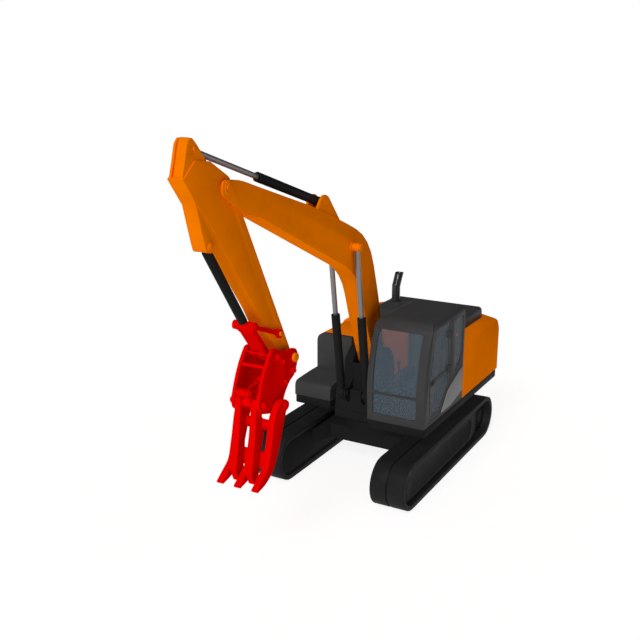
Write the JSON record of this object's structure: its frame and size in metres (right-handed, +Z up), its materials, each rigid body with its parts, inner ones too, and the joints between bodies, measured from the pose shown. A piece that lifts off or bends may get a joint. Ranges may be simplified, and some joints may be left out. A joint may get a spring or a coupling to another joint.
{
  "type": "excavator",
  "caption": "Remote-control crawler excavator: belt tracks, slewing house with glazed cab, boom and stick on cylinders, and a log grapple with tined jaws.",
  "frame": {"origin": "On the ground, under the middle of the bounding box; the slew axis is 107 mm behind it.", "axes": "+X points forward along the boom, +Y to the machine's left, the cab side, and +Z up."},
  "size_m": [0.565, 0.2, 0.4233],
  "materials": {
    "orange": "smooth satin gloss moulded plastic",
    "red": "smooth satin gloss moulded plastic",
    "grey": "satin moulded plastic",
    "black": "satin gloss moulded plastic",
    "rubber": "smooth satin rubber",
    "steel": "polished rod",
    "accent": "satin moulded plastic",
    "glass": "smooth tinted clear plastic"
  },
  "bodies": {
    "undercarriage": {"track_frame": "black", "slew_ring": "black", "side_frame_left": "black", "side_frame_right": "black", "belt_left": "rubber", "belt_right": "rubber"},
    "drive_left": {"sprocket_left": "black"},
    "drive_right": {"sprocket_right": "black"},
    "idler_wheel_left": {"idler_left": "black"},
    "idler_wheel_right": {"idler_right": "black"},
    "house": {"deck": "black", "boom_pedestal": "black", "boom_foot_pin": "black", "boom_cylinder_base_pin_left": "black", "boom_cylinder_base_pin_right": "black", "tool_box": "grey", "tank_cover": "orange", "engine_cover": "orange", "engine_hood": "black", "exhaust_pipe": "black", "cab_shell": "grey", "side_window_rear": "glass", "windscreen_lower": "glass", "windscreen_upper": "glass", "side_window_right": "glass", "accent_panel": "accent", "operator_seat": "black", "cab_consoles": "black"},
    "door": {"cab_door": "grey", "door_glass_upper": "glass", "door_glass_lower": "glass"},
    "boom_arm": {"boom": "orange", "boom_cylinder_top_pin": "orange", "stick_cylinder_base_pin": "orange", "stick_pivot_pin": "orange"},
    "boom_barrel_left": {"boom_cylinder_barrel_left": "black"},
    "boom_barrel_right": {"boom_cylinder_barrel_right": "black"},
    "boom_rod_left": {"boom_cylinder_rod_left": "steel"},
    "boom_rod_right": {"boom_cylinder_rod_right": "steel"},
    "stick_arm": {"stick": "orange", "stick_cylinder_rod_pin": "orange", "grapple_cylinder_base_pin": "orange", "rocker_pin": "orange", "grapple_pin": "orange"},
    "stick_barrel": {"stick_cylinder_barrel": "black"},
    "stick_rod": {"stick_cylinder_rod": "steel"},
    "curl_barrel": {"grapple_cylinder_barrel": "black"},
    "curl_rod": {"grapple_cylinder_rod": "steel"},
    "rockers": {"rocker_left": "red", "rocker_right": "red", "toggle_pin": "red"},
    "power_link_body": {"power_link": "red"},
    "grapple": {"grapple_frame": "red", "power_link_pin": "red", "jaw_cylinder_pin": "red", "front_jaw_pin": "red"},
    "jaw_front": {"front_jaw": "red"},
    "jaw_rear": {"rear_jaw": "red"},
    "jaw_barrel": {"jaw_cylinder_barrel": "red"},
    "jaw_rod": {"jaw_cylinder_rod": "red"}
  },
  "joints": [
    {"name": "swing", "type": "hinge", "parent": "undercarriage", "child": "house", "pos_m": [-0.107, 0, 0.069], "axis": [0, 0, 1], "continuous": true},
    {"name": "drive_left_turn", "type": "hinge", "parent": "undercarriage", "child": "drive_left", "pos_m": [-0.2261, 0.0795, 0.0275], "axis": [0, 1, 0], "continuous": true},
    {"name": "idler_left_turn", "type": "hinge", "parent": "undercarriage", "child": "idler_wheel_left", "pos_m": [0.0121, 0.0795, 0.0275], "axis": [0, 1, 0], "continuous": true},
    {"name": "drive_right_turn", "type": "hinge", "parent": "undercarriage", "child": "drive_right", "pos_m": [-0.2261, -0.0795, 0.0275], "axis": [0, 1, 0], "continuous": true},
    {"name": "idler_right_turn", "type": "hinge", "parent": "undercarriage", "child": "idler_wheel_right", "pos_m": [0.0121, -0.0795, 0.0275], "axis": [0, 1, 0], "continuous": true},
    {"name": "door_open", "type": "hinge", "parent": "house", "child": "door", "pos_m": [-0.0985, 0.0962, 0.15], "axis": [0, 0, 1], "range_deg": [0, 150]},
    {"name": "boom_lift", "type": "hinge", "parent": "house", "child": "boom_arm", "pos_m": [-0.083, 0, 0.134], "axis": [0, 1, 0], "range_deg": [-10, 18]},
    {"name": "boom_barrel_left_turn", "type": "hinge", "parent": "house", "child": "boom_barrel_left", "pos_m": [-0.0352, 0.0168, 0.104], "axis": [0, 1, 0], "range_deg": [-9.2, 16.4]},
    {"name": "boom_rod_left_turn", "type": "hinge", "parent": "boom_arm", "child": "boom_rod_left", "pos_m": [-0.006, 0.0168, 0.288], "axis": [0, 1, 0], "range_deg": [-2, 1.2]},
    {"name": "boom_barrel_right_turn", "type": "hinge", "parent": "house", "child": "boom_barrel_right", "pos_m": [-0.0352, -0.0168, 0.104], "axis": [0, 1, 0], "range_deg": [-9.2, 16.4]},
    {"name": "boom_rod_right_turn", "type": "hinge", "parent": "boom_arm", "child": "boom_rod_right", "pos_m": [-0.006, -0.0168, 0.288], "axis": [0, 1, 0], "range_deg": [-2, 1.2]},
    {"name": "stick_crowd", "type": "hinge", "parent": "boom_arm", "child": "stick_arm", "pos_m": [0.224, 0, 0.3786], "axis": [0, 1, 0], "range_deg": [-30, 12]},
    {"name": "stick_barrel_turn", "type": "hinge", "parent": "boom_arm", "child": "stick_barrel", "pos_m": [0.05, 0, 0.344], "axis": [0, 1, 0], "range_deg": [-6.5, 2.7]},
    {"name": "stick_rod_turn", "type": "hinge", "parent": "stick_arm", "child": "stick_rod", "pos_m": [0.264, 0, 0.4135], "axis": [0, 1, 0], "range_deg": [-9.7, 24]},
    {"name": "grapple_curl", "type": "hinge", "parent": "stick_arm", "child": "grapple", "pos_m": [0.128, 0, 0.1995], "axis": [0, 1, 0], "range_deg": [0, 30]},
    {"name": "rocker_turn", "type": "hinge", "parent": "stick_arm", "child": "rockers", "pos_m": [0.1455, 0, 0.2277], "axis": [0, 1, 0], "range_deg": [0, 24.9]},
    {"name": "power_link_turn", "type": "hinge", "parent": "rockers", "child": "power_link_body", "pos_m": [0.189, 0, 0.245], "axis": [0, 1, 0], "range_deg": [-19.8, 0]},
    {"name": "curl_barrel_turn", "type": "hinge", "parent": "stick_arm", "child": "curl_barrel", "pos_m": [0.2484, 0, 0.3307], "axis": [0, 1, 0], "range_deg": [-7.3, 0]},
    {"name": "curl_rod_turn", "type": "hinge", "parent": "rockers", "child": "curl_rod", "pos_m": [0.189, 0, 0.245], "axis": [0, 1, 0], "range_deg": [-32, 0]},
    {"name": "jaw_open", "type": "hinge", "parent": "grapple", "child": "jaw_rear", "pos_m": [0.156, 0, 0.159], "axis": [0, 1, 0], "range_deg": [0, 40]},
    {"name": "front_jaw_turn", "type": "hinge", "parent": "grapple", "child": "jaw_front", "pos_m": [0.185, 0, 0.167], "axis": [0, 1, 0], "range_deg": [-40.2, 0]},
    {"name": "jaw_barrel_turn", "type": "hinge", "parent": "grapple", "child": "jaw_barrel", "pos_m": [0.132, 0, 0.187], "axis": [0, 1, 0], "range_deg": [-1.6, 0]},
    {"name": "jaw_rod_turn", "type": "hinge", "parent": "jaw_front", "child": "jaw_rod", "pos_m": [0.193, 0, 0.1795], "axis": [0, 1, 0], "range_deg": [0, 39]}
  ],
  "couplings": [
    {"joint": "idler_left_turn", "follows": "drive_left_turn", "ratio": 1},
    {"joint": "idler_right_turn", "follows": "drive_right_turn", "ratio": 1},
    {"joint": "boom_barrel_left_turn", "follows": "boom_lift", "ratio": 0.8976},
    {"joint": "boom_rod_left_turn", "follows": "boom_lift", "ratio": -0.1024},
    {"joint": "boom_barrel_right_turn", "follows": "boom_lift", "ratio": 0.8976},
    {"joint": "boom_rod_right_turn", "follows": "boom_lift", "ratio": -0.1024},
    {"joint": "stick_barrel_turn", "follows": "stick_crowd", "ratio": 0.2089},
    {"joint": "stick_rod_turn", "follows": "stick_crowd", "ratio": -0.7911},
    {"joint": "rocker_turn", "follows": "grapple_curl", "ratio": 0.8234},
    {"joint": "power_link_turn", "follows": "grapple_curl", "ratio": -0.6531},
    {"joint": "curl_barrel_turn", "follows": "grapple_curl", "ratio": -0.2372},
    {"joint": "curl_rod_turn", "follows": "grapple_curl", "ratio": -1.0606},
    {"joint": "front_jaw_turn", "follows": "jaw_open", "ratio": -1},
    {"joint": "jaw_barrel_turn", "follows": "jaw_open", "ratio": -0.034},
    {"joint": "jaw_rod_turn", "follows": "jaw_open", "ratio": 0.966}
  ]
}
